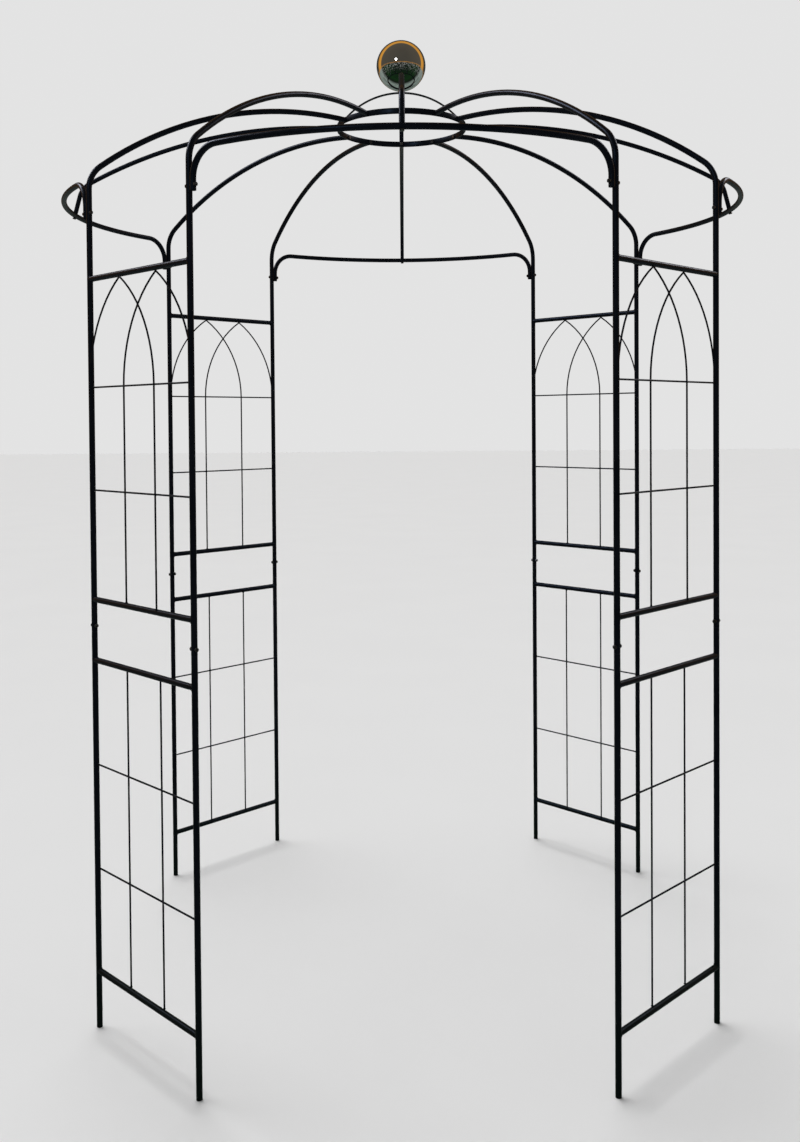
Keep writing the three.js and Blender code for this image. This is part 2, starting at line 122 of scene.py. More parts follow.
# The legs stand beside the posts in line with the panels, at 45 degrees to the entrance.
HEADER_LEG_X = ENTRANCE_HALF_WIDTH - HEADER_LEG_OFFSET * math.sqrt(0.5)
HEADER_LEG_DISTANCE = ENTRANCE_DISTANCE + HEADER_LEG_OFFSET * math.sqrt(0.5)

RIB_STRAIGHT = 81 * MM
RIB_BEND = 85 * MM
RIB_SLOPE = math.radians(38)
MID_RIB_LEAN = math.radians(15)
MID_RIB_LEG = 62 * MM
MID_RIB_BEND = 65 * MM
MID_RIB_SLOPE = math.radians(28)
RIB_SINK = 3 * MM

RING_THICKNESS = 4 * MM
RING_INNER = RING_OUTER - RING_THICKNESS
STRAP_WIDTH = 14 * MM
STRAP_THICKNESS = 3 * MM
CAD_RING_SIDES = 36
STRAP_FOOT_FACE = RING_INNER * math.cos(math.pi / CAD_RING_SIDES) - CLEARANCE
STRAP_INSIDE = STRAP_FOOT_FACE - STRAP_THICKNESS
STRAP_SLOPE = math.radians(56.1)
STRAP_FOOT_BEND = math.radians(2.5)  # the arc left for the turn into a foot
STRAP_FOOT_DROP = 2 * MM
STRAP_EDGE_SHARE = 0.22  # of the thickness, rounded off each edge
STRAP_EDGE_STEPS = 3
STRAP_LAP = 0.05 * MM  # keeps the faces of the two crossing straps apart
RING_STEPS = 120
ARCH_STEPS = 40
PAD_BOTTOM_RADIUS = 9 * MM
PAD_TOP_RADIUS = 9.4 * MM
PAD_DROP = 0.6 * MM

BALL_RADIUS = 78 * MM
BALL_STEPS = 56
BALL_SIDES = 96
NECK_RADIUS = 11 * MM
NECK_LIP = 0.8 * MM
NECK_FILLET = 1.04  # the ball starts this many times its meeting angle with the neck

BOLT_RADIUS = 3 * MM
HEX_HALF_FLATS = 5 * MM
HEAD_HEIGHT = 4 * MM
NUT_HEIGHT = 5 * MM
BOLT_TAIL = 2.5 * MM
SCREW_REACH = 20 * MM
THREAD_PITCH = 1 * MM
THREAD_DEPTH = 0.45 * MM
THREAD_LEAD = 2 * MM  # of thread before the nut
THREAD_ROWS = 4  # to a turn of the thread
SHANK_RELIEF = 0.05 * MM
SHANK_CHAMFER = 0.9 * MM
SHANK_OVERLAP = 2 * MM  # how far a shank starts inside its head
SHANK_SIDES = 18
HEX_POINTS = 36
HEX_CHAMFER = 0.55 * MM
HEX_FACE = 0.97  # a chamfered face's radius, over half the flats
HEX_SHOULDER = 1.02  # the radius a little further in, over the same
HEX_SHOULDER_DEPTH = 0.4  # of the chamfer

BEVEL = 0.4 * MM
BORE_DEPTH = 40 * MM
TUBE_SIDES = 24
WIRE_SIDES = 12
BEND_STEP = math.radians(5)

UP = Vector((0, 0, 1))
DOWN = -UP
RIGHT = Vector((1, 0, 0))
OUTWARDS = Vector((0, -1, 0))


# ---------------------------------------------------------------- meshes


class Shell:
    """Points and faces of one piece, made of closed bodies."""

    def __init__(self):
        self.points = []
        self.faces = []

    def tube_of_rings(self, rings):
        """Joins rings of equally many points into one closed body, with a flat cap at each end."""
        first = len(self.points)
        count = len(rings[0])
        for ring in rings:
            self.points.extend(ring)
        self.faces.append([first + side for side in reversed(range(count))])
        for row in range(len(rings) - 1):
            start = first + row * count
            for side in range(count):
                nearby = (side + 1) % count
                self.faces.append(
                    [start + side, start + nearby, start + count + nearby, start + count + side]
                )
        last = first + (len(rings) - 1) * count
        self.faces.append([last + side for side in range(count)])

    def closed_ring(self, sections):
        """Joins sections into a closed loop, such as a weld bead or a strap ring."""
        first = len(self.points)
        count = len(sections[0])
        rows = len(sections)
        for section in sections:
            self.points.extend(section)
        for row in range(rows):
            start = first + row * count
            after = first + ((row + 1) % rows) * count
            for side in range(count):
                nearby = (side + 1) % count
                self.faces.append([start + side, after + side, after + nearby, start + nearby])

    def moved(self, matrix):
        copy = Shell()
        copy.points = [matrix @ point for point in self.points]
        copy.faces = self.faces
        return copy

    def add(self, other):
        first = len(self.points)
        self.points.extend(other.points)
        self.faces.extend([[first + index for index in face] for face in other.faces])


class BentPath:
    """A path as a tube bender makes it: straight runs, and bends of one radius about one axis."""

    def __init__(self, start, direction):
        self.points = [Vector(start)]
        self.tangents = [Vector(direction).normalized()]

    def straight(self, length):
        self.points.append(self.points[-1] + self.tangents[-1] * length)
        self.tangents.append(self.tangents[-1].copy())
        return self

    def bend(self, radius, angle, axis, step=BEND_STEP):
        start = self.points[-1]
        direction = self.tangents[-1]
        centre = start + axis.cross(direction) * radius
        steps = max(2, math.ceil(angle / step))
        for index in range(1, steps + 1):
            turn = Quaternion(axis, angle * index / steps)
            self.points.append(centre + turn @ (start - centre))
            self.tangents.append(turn @ direction)
        return self


def line(start, end):
    start = Vector(start)
    end = Vector(end)
    return BentPath(start, end - start).straight((end - start).length)


def ring_at(centre, tangent, normal, radius, sides):
    side = tangent.cross(normal)
    ring = []
    for index in range(sides):
        angle = 2 * math.pi * index / sides
        ring.append(centre + (normal * math.cos(angle) + side * math.sin(angle)) * radius)
    return ring


def bevelled(radius):
    """An end's rows, as (distance in from the end, radius), from the end's face to the full radius."""
    return [(0.0, radius - BEVEL), (BEVEL, radius)]


def open_end(radius, wall=TUBE_WALL, depth=BORE_DEPTH):
    """An open tube end: the bottom of its bore, the bore's mouth, the lip and the outer wall."""
    bore = radius - wall
    return [(depth, bore), (BEVEL / 2, bore), (0.0, bore + BEVEL / 2), *bevelled(radius)]


def sunk(radius):
    """An end that is hidden in another piece."""
    return [(0.0, radius)]


def rings_along(path, radius, sides, start, end):
    """Rings of a rod along path, whose two ends follow the rows given by start and end."""
    tangent = path.tangents[0]
    normal = tangent.orthogonal().normalized()
    first = path.points[0]
    rings = [ring_at(first + tangent * inset, tangent, normal, row, sides) for inset, row in start]
    for index in range(1, len(path.points) - 1):
        normal = tangent.rotation_difference(path.tangents[index]) @ normal
        tangent = path.tangents[index]
        rings.append(ring_at(path.points[index], tangent, normal, radius, sides))
    normal = tangent.rotation_difference(path.tangents[-1]) @ normal
    tangent = path.tangents[-1]
    last = path.points[-1]
    for inset, row in reversed(end):
        rings.append(ring_at(last - tangent * inset, tangent, normal, row, sides))
    return rings


def rod(shell, path, radius, sides=TUBE_SIDES, start=None, end=None):
    rings = rings_along(path, radius, sides, start or bevelled(radius), end or bevelled(radius))
    shell.tube_of_rings(rings)


def depth_of_host(host_radius, offset):
    """How far from a round host's axis its surface lies, at that offset to the side."""
    return math.sqrt(max(host_radius**2 - offset**2, 0.0))


def weld_bead(shell, centre, direction, across, host_radius, radius, leg, phase):
    """The bead where a bar leaves a round host along direction; across is the host's axis.

    Known fault: its sections run the wrong way round, so its faces look into the bead.
    """
    sideways = across.cross(direction)
    sections = []
    for index in range(WELD_STEPS):
        angle = 2 * math.pi * index / WELD_STEPS
        lateral = abs(math.sin(angle))
        ripple = 1 + 0.14 * math.sin(7 * angle + phase) + 0.08 * math.sin(12 * angle + 2 * phase)
        fit = 1 - 0.5 * (lateral * radius / host_radius) ** 4
        size = leg * ripple * fit
        around = across * math.cos(angle) + sideways * math.sin(angle)
        toe = radius + size
        if lateral * toe > host_radius:
            toe = max(radius - BEVEL, host_radius / lateral)
        outer = radius + 0.62 * size
        inner = radius + 0.25 * size
        at_bar = depth_of_host(host_radius, radius * lateral)
        rows = [
            (toe, depth_of_host(host_radius, toe * lateral) - WELD_ROOT),
            (outer, depth_of_host(host_radius, outer * lateral) + 0.42 * size),
            (inner, depth_of_host(host_radius, inner * lateral) + 0.8 * size),
            (radius - WELD_ROOT, at_bar + 1.15 * size),
            (radius - WELD_CORE, at_bar - WELD_DEPTH),
        ]
        sections.append([centre + around * row + direction * reach for row, reach in rows])
    shell.closed_ring(sections)


def weld_nugget(shell, centre, axis, size, phase):
    """The small blob that holds two crossing wires together."""
    normal = axis.orthogonal().normalized()
    rings = []
    for row in range(1, NUGGET_ROWS):
        polar = math.pi * row / NUGGET_ROWS
        swell = 1 + 0.1 * math.sin(3 * polar + phase)
        middle = centre - axis * (math.cos(polar) * size * 0.75)
        rings.append(ring_at(middle, axis, normal, math.sin(polar) * size * swell, WIRE_SIDES))
    shell.tube_of_rings(rings)


# ---------------------------------------------------------------- fasteners


def hex_ring(distance, limit):
    """A ring across the X axis with a hexagon's outline, cut round where it reaches past limit."""
    ring = []
    for index in range(HEX_POINTS):
        angle = 2 * math.pi * index / HEX_POINTS
        from_flat = (angle + math.pi / 6) % (math.pi / 3) - math.pi / 6
        radius = min(HEX_HALF_FLATS / math.cos(from_flat), limit)
        ring.append(Vector((distance, radius * math.cos(angle), radius * math.sin(angle))))
    return ring


def hex_block(shell, low, high, low_round, high_round):
    """A hexagon from low to high along +X, its corners turned off at the ends that are round."""
    corner = HEX_HALF_FLATS / math.cos(math.pi / 6)
    face = HEX_HALF_FLATS * HEX_FACE
    shoulder = HEX_HALF_FLATS * HEX_SHOULDER
    shoulder_inset = HEX_CHAMFER * HEX_SHOULDER_DEPTH
    rings = []
    if low_round:
        rings.append(hex_ring(low, face))
        rings.append(hex_ring(low + shoulder_inset, shoulder))
    rings.append(hex_ring(low + (HEX_CHAMFER if low_round else 0), corner))
    rings.append(hex_ring(high - (HEX_CHAMFER if high_round else 0), corner))
    if high_round:
        rings.append(hex_ring(high - shoulder_inset, shoulder))
        rings.append(hex_ring(high, face))
    shell.tube_of_rings(rings)


def threaded_shank(shell, start, thread_from, end):
    """A shank along +X that carries a helical thread from thread_from to a chamfered end."""
    rings = []

    def ring(distance, radius_at):
        points = []
        for index in range(SHANK_SIDES):
            angle = 2 * math.pi * index / SHANK_SIDES
            radius = radius_at(distance, angle)
            points.append(Vector((distance, radius * math.cos(angle), radius * math.sin(angle))))
        rings.append(points)

    def plain(distance, angle):
        return BOLT_RADIUS - SHANK_RELIEF

    def thread(distance, angle):
        turn = (distance / THREAD_PITCH - angle / (2 * math.pi)) % 1
        groove = 1 - abs(2 * turn - 1)
        room = max(0.0, end - distance)
        return min(BOLT_RADIUS - THREAD_DEPTH * groove, BOLT_RADIUS - SHANK_CHAMFER + room)

    ring(start, plain)
    ring(thread_from, plain)
    rows = max(2, round((end - thread_from) / (THREAD_PITCH / THREAD_ROWS)))
    for row in range(1, rows + 1):
        ring(thread_from + (end - thread_from) * row / rows, thread)
    shell.tube_of_rings(rings)


def bolt_with_nut(grip):
    """A bolt along +X: its head is left of x = 0, and its nut right of x = grip."""
    shell = Shell()
    hex_block(shell, -CLEARANCE - HEAD_HEIGHT, -CLEARANCE, True, False)
    nut = grip + CLEARANCE
    hex_block(shell, nut, nut + NUT_HEIGHT, True, True)
    threaded_shank(shell, -SHANK_OVERLAP, nut - THREAD_LEAD, nut + NUT_HEIGHT + BOLT_TAIL)
    return shell


def screw(reach):
    """A screw along +X with its head left of x = 0."""
    shell = Shell()
    hex_block(shell, -CLEARANCE - HEAD_HEIGHT, -CLEARANCE, True, False)
    threaded_shank(shell, -SHANK_OVERLAP, reach - SCREW_REACH / 2, reach)
    return shell


# ---------------------------------------------------------------- trellis panels


def crossbar(shell, height, radius, leg, phase):
    """A bar or wire from post to post at that height, welded at both ends."""
    ends = [Vector((side * HALF_PANEL, 0, height)) for side in (-1, 1)]
    sides = TUBE_SIDES if radius == TUBE_RADIUS else WIRE_SIDES
    rod(shell, line(*ends), radius, sides, sunk(radius), sunk(radius))
    for side, end in zip((-1, 1), ends):
        weld_bead(shell, end, RIGHT * -side, UP, TUBE_RADIUS, radius, leg, phase + side)


def tube_bar(shell, height, phase):
    crossbar(shell, height, TUBE_RADIUS, TUBE_WELD, phase)


def wire_bar(shell, height, phase):
    crossbar(shell, height, WIRE_RADIUS, WIRE_WELD, phase)


def wire_foot(shell, x, y, height, direction, phase):
    """The bead where an upright wire stands on a crossbar, a little behind or before its middle."""
    weld_bead(shell, Vector((x, y, height)), direction, RIGHT, TUBE_RADIUS, WIRE_RADIUS, WIRE_WELD, phase)


def post(shell, side, bottom, top, bottom_end):
    """One post with the narrower spigot that its upper neighbour slips over."""
    x = side * HALF_PANEL
    path = line((x, 0, bottom), (x, 0, top - CLEARANCE))
    rod(shell, path, TUBE_RADIUS, start=bottom_end)
    spigot = TUBE_RADIUS - TUBE_WALL - CLEARANCE
    rod(shell, line((x, 0, top - SPIGOT_OVERLAP), (x, 0, top + SPIGOT_LENGTH)), spigot)


def lower_panel():
    shell = Shell()
    for side in (-1, 1):
        post(shell, side, 0, PANEL_JOINT, open_end(TUBE_RADIUS))
    tube_bar(shell, LOWER_BOTTOM_BAR, 0.4)
    tube_bar(shell, LOWER_TOP_BAR, 2.1)
    bay = (LOWER_TOP_BAR - LOWER_BOTTOM_BAR) / (LOWER_WIRE_ROWS + 1)
    for row in range(1, LOWER_WIRE_ROWS + 1):
        wire_bar(shell, LOWER_BOTTOM_BAR + row * bay, 1.3 * row)
    for side in (-1, 1):
        x = side * WIRE_GAP / 2
        wire = line((x, WIRE_STEP, LOWER_BOTTOM_BAR), (x, WIRE_STEP, LOWER_TOP_BAR))
        rod(shell, wire, WIRE_RADIUS, WIRE_SIDES, sunk(WIRE_RADIUS), sunk(WIRE_RADIUS))
        wire_foot(shell, x, WIRE_STEP, LOWER_BOTTOM_BAR, UP, 0.7 * side)
        wire_foot(shell, x, WIRE_STEP, LOWER_TOP_BAR, DOWN, 1.9 * side)
        for row in range(1, LOWER_WIRE_ROWS + 1):
            height = LOWER_BOTTOM_BAR + row * bay
            weld_nugget(shell, Vector((x, WIRE_STEP / 2, height)), OUTWARDS, NUGGET, row + side)
    return shell


def arch_side(foot_x, foot_height, y, towards):
    """One side of a pointed arch: a wire that rises and leans over to the arch's point."""
    rise = POINTED_ARCH_HEIGHT - TUBE_RADIUS
    radius = (WIRE_GAP**2 + rise**2) / (2 * WIRE_GAP)
    path = BentPath((foot_x, y, foot_height), UP)
    if foot_height < ARCH_SPRING:
        path.straight(ARCH_SPRING - foot_height)
    return path.bend(radius, math.acos(1 - WIRE_GAP / radius), Vector((0, towards, 0)))


def upper_panel():
    shell = Shell()
    lip = open_end(TUBE_RADIUS, depth=SOCKET_DEPTH)
    for side in (-1, 1):
        post(shell, side, PANEL_JOINT, RIB_JOINT, lip)
    tube_bar(shell, UPPER_BOTTOM_BAR, 0.9)
    tube_bar(shell, UPPER_TOP_BAR, 2.6)
    wire_bar(shell, UPPER_LOW_WIRE, 1.1)
    wire_bar(shell, ARCH_SPRING, 3.2)
    for side in (-1, 1):
        y = side * WIRE_STEP
        outer = arch_side(side * HALF_PANEL, ARCH_SPRING, y, -side)
        inner_x = -side * WIRE_GAP / 2
        inner = arch_side(inner_x, UPPER_BOTTOM_BAR, y, side)
        for path in (outer, inner):
            rod(shell, path, WIRE_RADIUS, WIRE_SIDES, end=sunk(WIRE_RADIUS))
            weld_nugget(shell, path.points[-1] + DOWN * NUGGET_DROP, UP, NUGGET, side)
        wire_foot(shell, inner_x, y, UPPER_BOTTOM_BAR, UP, side)
        for height in (UPPER_LOW_WIRE, ARCH_SPRING):
            weld_nugget(shell, Vector((inner_x, y / 2, height)), OUTWARDS, NUGGET, height)
        foot = Vector((side * (HALF_PANEL - TUBE_RADIUS / 2), y, ARCH_SPRING + NUGGET_RISE))
        weld_nugget(shell, foot, UP, NUGGET, side)
    return shell


# ---------------------------------------------------------------- headers and ribs


def header():
    """The bowed tube over an entrance: an arc of one radius between two bends turned down."""
    bulge = HEADER_REACH - HEADER_LEG_DISTANCE
    flare = 2 * math.atan(bulge / (HEADER_LEG_X + HEADER_BEND))
    arc = (HEADER_LEG_X - HEADER_BEND * math.cos(flare)) / math.sin(flare)
    out = Vector((math.cos(flare), -math.sin(flare), 0))
    back = Vector((math.cos(flare), math.sin(flare), 0))
    path = BentPath((-HEADER_LEG_X, -HEADER_LEG_DISTANCE, HEADER_LEG_END), UP)
    path.straight(HEADER_LEG)
    path.bend(HEADER_BEND, math.pi / 2, UP.cross(out))
    path.bend(arc, 2 * flare, UP, math.radians(2))
    path.bend(HEADER_BEND, math.pi / 2, back.cross(DOWN))
    path.straight(HEADER_LEG)
    shell = Shell()
    leg_end = open_end(TUBE_RADIUS, depth=HEADER_LEG / 3)
    rod(shell, path, TUBE_RADIUS, start=leg_end, end=leg_end)
    return shell


HEADER_MIDDLE = Vector((0, -HEADER_REACH, HEADER_HEIGHT))
MID_RIB_DIRECTION = Vector((0, math.sin(MID_RIB_LEAN), math.cos(MID_RIB_LEAN)))
RIB_BEND_AXIS = Vector((-1, 0, 0))


def arc_to_ring(path, slope):
    """Finishes a rib's path with one long arc that leaves at slope and lands on the ring."""
    start = path.points[-1]
    run = -(RING_OUTER - RIB_SINK) - start.y
    rise = RING_HEIGHT - start.z
    end_slope = 2 * math.atan2(rise, run) - slope
    radius = run / (math.sin(slope) - math.sin(end_slope))
    return path.bend(radius, slope - end_slope, RIB_BEND_AXIS, math.radians(1.5))


def coped_to_ring(rings, tangent):
    """Slides the last ring's points along tangent until they stand just off the crown ring."""
    target = RING_OUTER + CLEARANCE
    for point in rings[-1]:
        flat = Vector((point.x, point.y, 0))
        along = Vector((tangent.x, tangent.y, 0))
        a = along.length_squared
        b = 2 * flat.dot(along)
        c = flat.length_squared - target**2
        point += tangent * ((-b - math.sqrt(b * b - 4 * a * c)) / (2 * a))


def post_rib():
    """A rib in the plane x = 0, from the joint on its post to the ring."""
    path = BentPath((0, -POST_CIRCLE, RIB_JOINT), UP)
    path.straight(RIB_STRAIGHT)
    path.bend(RIB_BEND, math.pi / 2 - RIB_SLOPE, RIB_BEND_AXIS)
    arc_to_ring(path, RIB_SLOPE)
    lip = open_end(TUBE_RADIUS, depth=SOCKET_DEPTH)
    rings = rings_along(path, TUBE_RADIUS, TUBE_SIDES, lip, sunk(TUBE_RADIUS))
    coped_to_ring(rings, path.tangents[-1])
    shell = Shell()
    shell.tube_of_rings(rings)
    return shell


def mid_rib():
    """The thinner rib in the plane x = 0, which sits like a saddle on the header's middle."""
    path = BentPath(HEADER_MIDDLE, MID_RIB_DIRECTION)
    path.straight(MID_RIB_LEG)
    path.bend(MID_RIB_BEND, math.pi / 2 - MID_RIB_LEAN - MID_RIB_SLOPE, RIB_BEND_AXIS)
    arc_to_ring(path, MID_RIB_SLOPE)
    rings = rings_along(path, MID_RIB_RADIUS, TUBE_SIDES, sunk(MID_RIB_RADIUS), sunk(MID_RIB_RADIUS))
    coped_to_ring(rings, path.tangents[-1])
    sideways = MID_RIB_DIRECTION.cross(RIGHT)
    for point in rings[0]:
        off_axis = (point - HEADER_MIDDLE).dot(sideways)
        saddle = TUBE_RADIUS + CLEARANCE
        point += MID_RIB_DIRECTION * math.sqrt(max(saddle**2 - off_axis**2, 0))
    shell = Shell()
    shell.tube_of_rings(rings)
    return shell


# ---------------------------------------------------------------- crown


def strap_section(centre, wide, thick, width, thickness):
    """The corners of a flat bar's section, its edges rounded off as rolled flat bar is."""
    edge = min(width, thickness) * STRAP_EDGE_SHARE
    outline = []
    for x, y, turn in ((1, 1, 0), (-1, 1, 1), (-1, -1, 2), (1, -1, 3)):
        for step in range(STRAP_EDGE_STEPS + 1):
            angle = math.pi / 2 * (turn + step / STRAP_EDGE_STEPS)
            across = x * (width / 2 - edge) + edge * math.cos(angle)
            through = y * (thickness / 2 - edge) + edge * math.sin(angle)
            outline.append(centre + wide * across + thick * through)
    return outline


def crown_ring():
    """A flat strap bent to a ring, standing on its edge."""
    sections = []
    for index in range(RING_STEPS):
        angle = 2 * math.pi * index / RING_STEPS
        radial = Vector((math.cos(angle), math.sin(angle), 0))
        centre = radial * (RING_OUTER - RING_THICKNESS / 2) + UP * RING_HEIGHT
        sections.append(strap_section(centre, DOWN, radial, RING_WIDTH, RING_THICKNESS))
    shell = Shell()
    shell.closed_ring(sections)
    return shell


def strap_arch(lift):
    """One strap arch in the plane y = 0, raised by lift, with a foot turned down at each end."""
    half_thickness = STRAP_THICKNESS / 2
    middle_x = STRAP_FOOT_FACE - half_thickness
    radius = STRAP_INSIDE / math.sin(STRAP_SLOPE) + half_thickness
    centre = ARCH_TOP - radius - half_thickness + lift
    span = math.asin(middle_x / radius)
    foot = RING_HEIGHT - RING_WIDTH / 2
    knee = centre + radius * math.cos(span) - STRAP_FOOT_DROP
    stations = [(Vector((middle_x, 0, foot)), RIGHT)]
    stations.append((Vector((middle_x, 0, knee)), RIGHT))
    for step in range(1, ARCH_STEPS):
        angle = (span - STRAP_FOOT_BEND) * (1 - 2 * step / ARCH_STEPS)
        normal = Vector((math.sin(angle), 0, math.cos(angle)))
        stations.append((normal * radius + UP * centre, normal))
    stations.append((Vector((-middle_x, 0, knee)), -RIGHT))
    stations.append((Vector((-middle_x, 0, foot)), -RIGHT))
    across = Vector((0, 1, 0))
    rings = [
        strap_section(middle, across, normal, STRAP_WIDTH, STRAP_THICKNESS)
        for middle, normal in stations
    ]
    shell = Shell()
    shell.tube_of_rings([list(reversed(ring)) for ring in rings])
    return shell


def finial_stand():
    """Two strap arches, one across the other, with a round weld pad under their crossing."""
    shell = strap_arch(0)
    shell.add(strap_arch(-STRAP_LAP).moved(Matrix.Rotation(math.pi / 2, 4, "Z")))
    pad_foot = UP * (ARCH_TOP - STRAP_THICKNESS - PAD_DROP)
    pad = ring_at(pad_foot, UP, RIGHT, PAD_BOTTOM_RADIUS, TUBE_SIDES)
    pad_top = ring_at(UP * (ARCH_TOP - STRAP_THICKNESS / 2), UP, RIGHT, PAD_TOP_RADIUS, TUBE_SIDES)
    shell.tube_of_rings([pad, pad_top])
    return shell


def gazing_ball():
    """A spun ball on a short neck with a rolled lip."""
    centre = BALL_TOP - BALL_RADIUS
    neck_bottom = ARCH_TOP + CLEARANCE
    neck_top = centre - math.sqrt(BALL_RADIUS**2 - NECK_RADIUS**2)
    lip = NECK_LIP
    rows = [
        (neck_bottom, BOLT_RADIUS + lip),
        (neck_bottom, NECK_RADIUS - lip),
        (neck_bottom + lip * 0.3, NECK_RADIUS - lip * 0.3),
        (neck_bottom + lip, NECK_RADIUS),
        (neck_bottom + 2 * lip, NECK_RADIUS - lip * 0.3),
        (neck_bottom + 2.6 * lip, NECK_RADIUS - lip),
        (neck_top - lip * 0.5, NECK_RADIUS - lip),
        (neck_top + lip * 0.1, NECK_RADIUS - lip * 0.4),
    ]
    start = math.asin(NECK_RADIUS / BALL_RADIUS) * NECK_FILLET
    for step in range(BALL_STEPS):
        polar = start + (math.pi - start) * step / BALL_STEPS
        rows.append((centre - BALL_RADIUS * math.cos(polar), BALL_RADIUS * math.sin(polar)))
    rings = [ring_at(UP * height, UP, RIGHT, radius, BALL_SIDES) for height, radius in rows]
    shell = Shell()
    shell.tube_of_rings(rings)
    top = len(shell.points)
    shell.points.append(UP * BALL_TOP)
    last = shell.faces.pop()
    for index, corner in enumerate(last):
        shell.faces.append([corner, last[(index + 1) % len(last)], top])
    return shell


# ---------------------------------------------------------------- materials

# The sockets of a Mix node that mixes colours.
MIX_FACTOR = 0
MIX_FIRST = 6
MIX_SECOND = 7
MIX_RESULT = 2

COAT_DARK = (0.0036, 0.0043, 0.0060)
COAT_LIGHT = (0.0062, 0.0070, 0.0094)
COAT_GREEN = (0.0042, 0.0072, 0.0052)
COAT_DUST = (0.012, 0.0125, 0.0135)
COAT_TINT = (0.36, 0.58, 1, 1)
GREEN_BELOW = 0.45
STEEL_DARK = (0.70, 0.71, 0.70)
STEEL_LIGHT = (0.78, 0.79, 0.78)
# Painted reflection: the green-grey that tints the ball's lower half as if it mirrored green ground.
STEEL_PAINTED_GROUND_REFLECTION = (0.66, 0.70, 0.68)

def new_material(name):
    material = bpy.data.materials.new(name)
    material.use_nodes = True
    tree = material.node_tree
    return material, tree, tree.nodes["Principled BSDF"]


def noise(tree, scale, detail=2.0, roughness=0.5):
    """Noise in the arbour's own coordinates."""
    place = tree.nodes.new("ShaderNodeTexCoord")
    node = tree.nodes.new("ShaderNodeTexNoise")
    node.inputs["Scale"].default_value = scale
    node.inputs["Detail"].default_value = detail
    node.inputs["Roughness"].default_value = roughness
    tree.links.new(place.outputs["Object"], node.inputs["Vector"])
    return node.outputs["Fac"]


def ramp(tree, value, stops):
    """Colours or greys at positions along value."""
    node = tree.nodes.new("ShaderNodeValToRGB")
    elements = node.color_ramp.elements
    while len(elements) < len(stops):
        elements.new(0.5)
    for element, (position, colour) in zip(elements, stops):
        element.position = position
        element.color = (*colour, 1)
    tree.links.new(value, node.inputs["Fac"])
    return node.outputs["Color"]


def grey(value):
    return (value, value, value)


def bump(tree, shader, relief, strength, distance):
    node = tree.nodes.new("ShaderNodeBump")
    node.inputs["Strength"].default_value = strength
    node.inputs["Distance"].default_value = distance
    tree.links.new(relief, node.inputs["Height"])
    tree.links.new(node.outputs["Normal"], shader.inputs["Normal"])


def height(tree, low, high):
    """The height between low and high, as 0 to 1."""
    place = tree.nodes.new("ShaderNodeTexCoord")
    split = tree.nodes.new("ShaderNodeSeparateXYZ")
    tree.links.new(place.outputs["Object"], split.inputs["Vector"])
    spread = tree.nodes.new("ShaderNodeMapRange")
    spread.inputs["From Min"].default_value = low
    spread.inputs["From Max"].default_value = high
    tree.links.new(split.outputs["Z"], spread.inputs["Value"])
    return spread.outputs["Result"]


def mixed(tree, factor, first, second):
    """First where factor is 0 and second where it is 1; each may be a colour or a socket."""
    node = tree.nodes.new("ShaderNodeMix")
    node.data_type = "RGBA"
    tree.links.new(factor, node.inputs[MIX_FACTOR])
    for socket, value in ((node.inputs[MIX_FIRST], first), (node.inputs[MIX_SECOND], second)):
        if isinstance(value, tuple):
            socket.default_value = (*value, 1)
        else:
            tree.links.new(value, socket)
    return node.outputs[MIX_RESULT]


def powder_coat():
    """Semi-gloss black powder coat with orange peel, which turns a little green near the ground."""
    material, tree, shader = new_material("powder_coat")
    shader.inputs["Specular IOR Level"].default_value = 0.16
    shader.inputs["Specular Tint"].default_value = COAT_TINT
    shader.inputs["IOR"].default_value = 1.3
    clean = ramp(tree, noise(tree, 9, 4), [(0.35, COAT_DARK), (0.7, COAT_LIGHT)])
    greened = mixed(tree, height(tree, GREEN_BELOW, 0.0), clean, COAT_GREEN)
    dust = ramp(tree, noise(tree, 70, 5, 0.65), [(0.62, grey(0)), (0.74, grey(0.35))])
    tree.links.new(mixed(tree, dust, greened, COAT_DUST), shader.inputs["Base Color"])
    gloss = ramp(tree, noise(tree, 38, 3), [(0.3, grey(0.27)), (0.75, grey(0.38))])
    tree.links.new(gloss, shader.inputs["Roughness"])
    bump(tree, shader, noise(tree, 520, 2), 0.06, 0.2 * MM)
    return material


def black_zinc():
    """Black zinc plating, worn a little lighter in patches."""
    material, tree, shader = new_material("black_zinc")
    shader.inputs["Metallic"].default_value = 0.85
    tone = ramp(tree, noise(tree, 240, 3), [(0.35, grey(0.035)), (0.62, grey(0.07)), (0.78, grey(0.2))])
    tree.links.new(tone, shader.inputs["Base Color"])
    gloss = ramp(tree, noise(tree, 400, 2), [(0.3, grey(0.26)), (0.8, grey(0.42))])
    tree.links.new(gloss, shader.inputs["Roughness"])
    bump(tree, shader, noise(tree, 900, 2), 0.12, 0.1 * MM)
    return material


def mirror_steel():
    """Mirror-polished steel with faint smears, and a painted green reflection of the ground that tints
    its lower half.
    """
    material, tree, shader = new_material("mirror_steel")
    shader.inputs["Metallic"].default_value = 1.0
    smears = ramp(tree, noise(tree, 26, 3), [(0.3, STEEL_DARK), (0.7, STEEL_LIGHT)])
    # Painted reflection: greener towards the bottom of the ball, standing in for mirrored green ground.
    low = height(tree, BALL_TOP - BALL_RADIUS, BALL_TOP - 2 * BALL_RADIUS)
    tree.links.new(mixed(tree, low, smears, STEEL_PAINTED_GROUND_REFLECTION), shader.inputs["Base Color"])
    gloss = ramp(tree, noise(tree, 45, 4), [(0.42, grey(0.012)), (0.8, grey(0.05))])
    tree.links.new(gloss, shader.inputs["Roughness"])
    return material


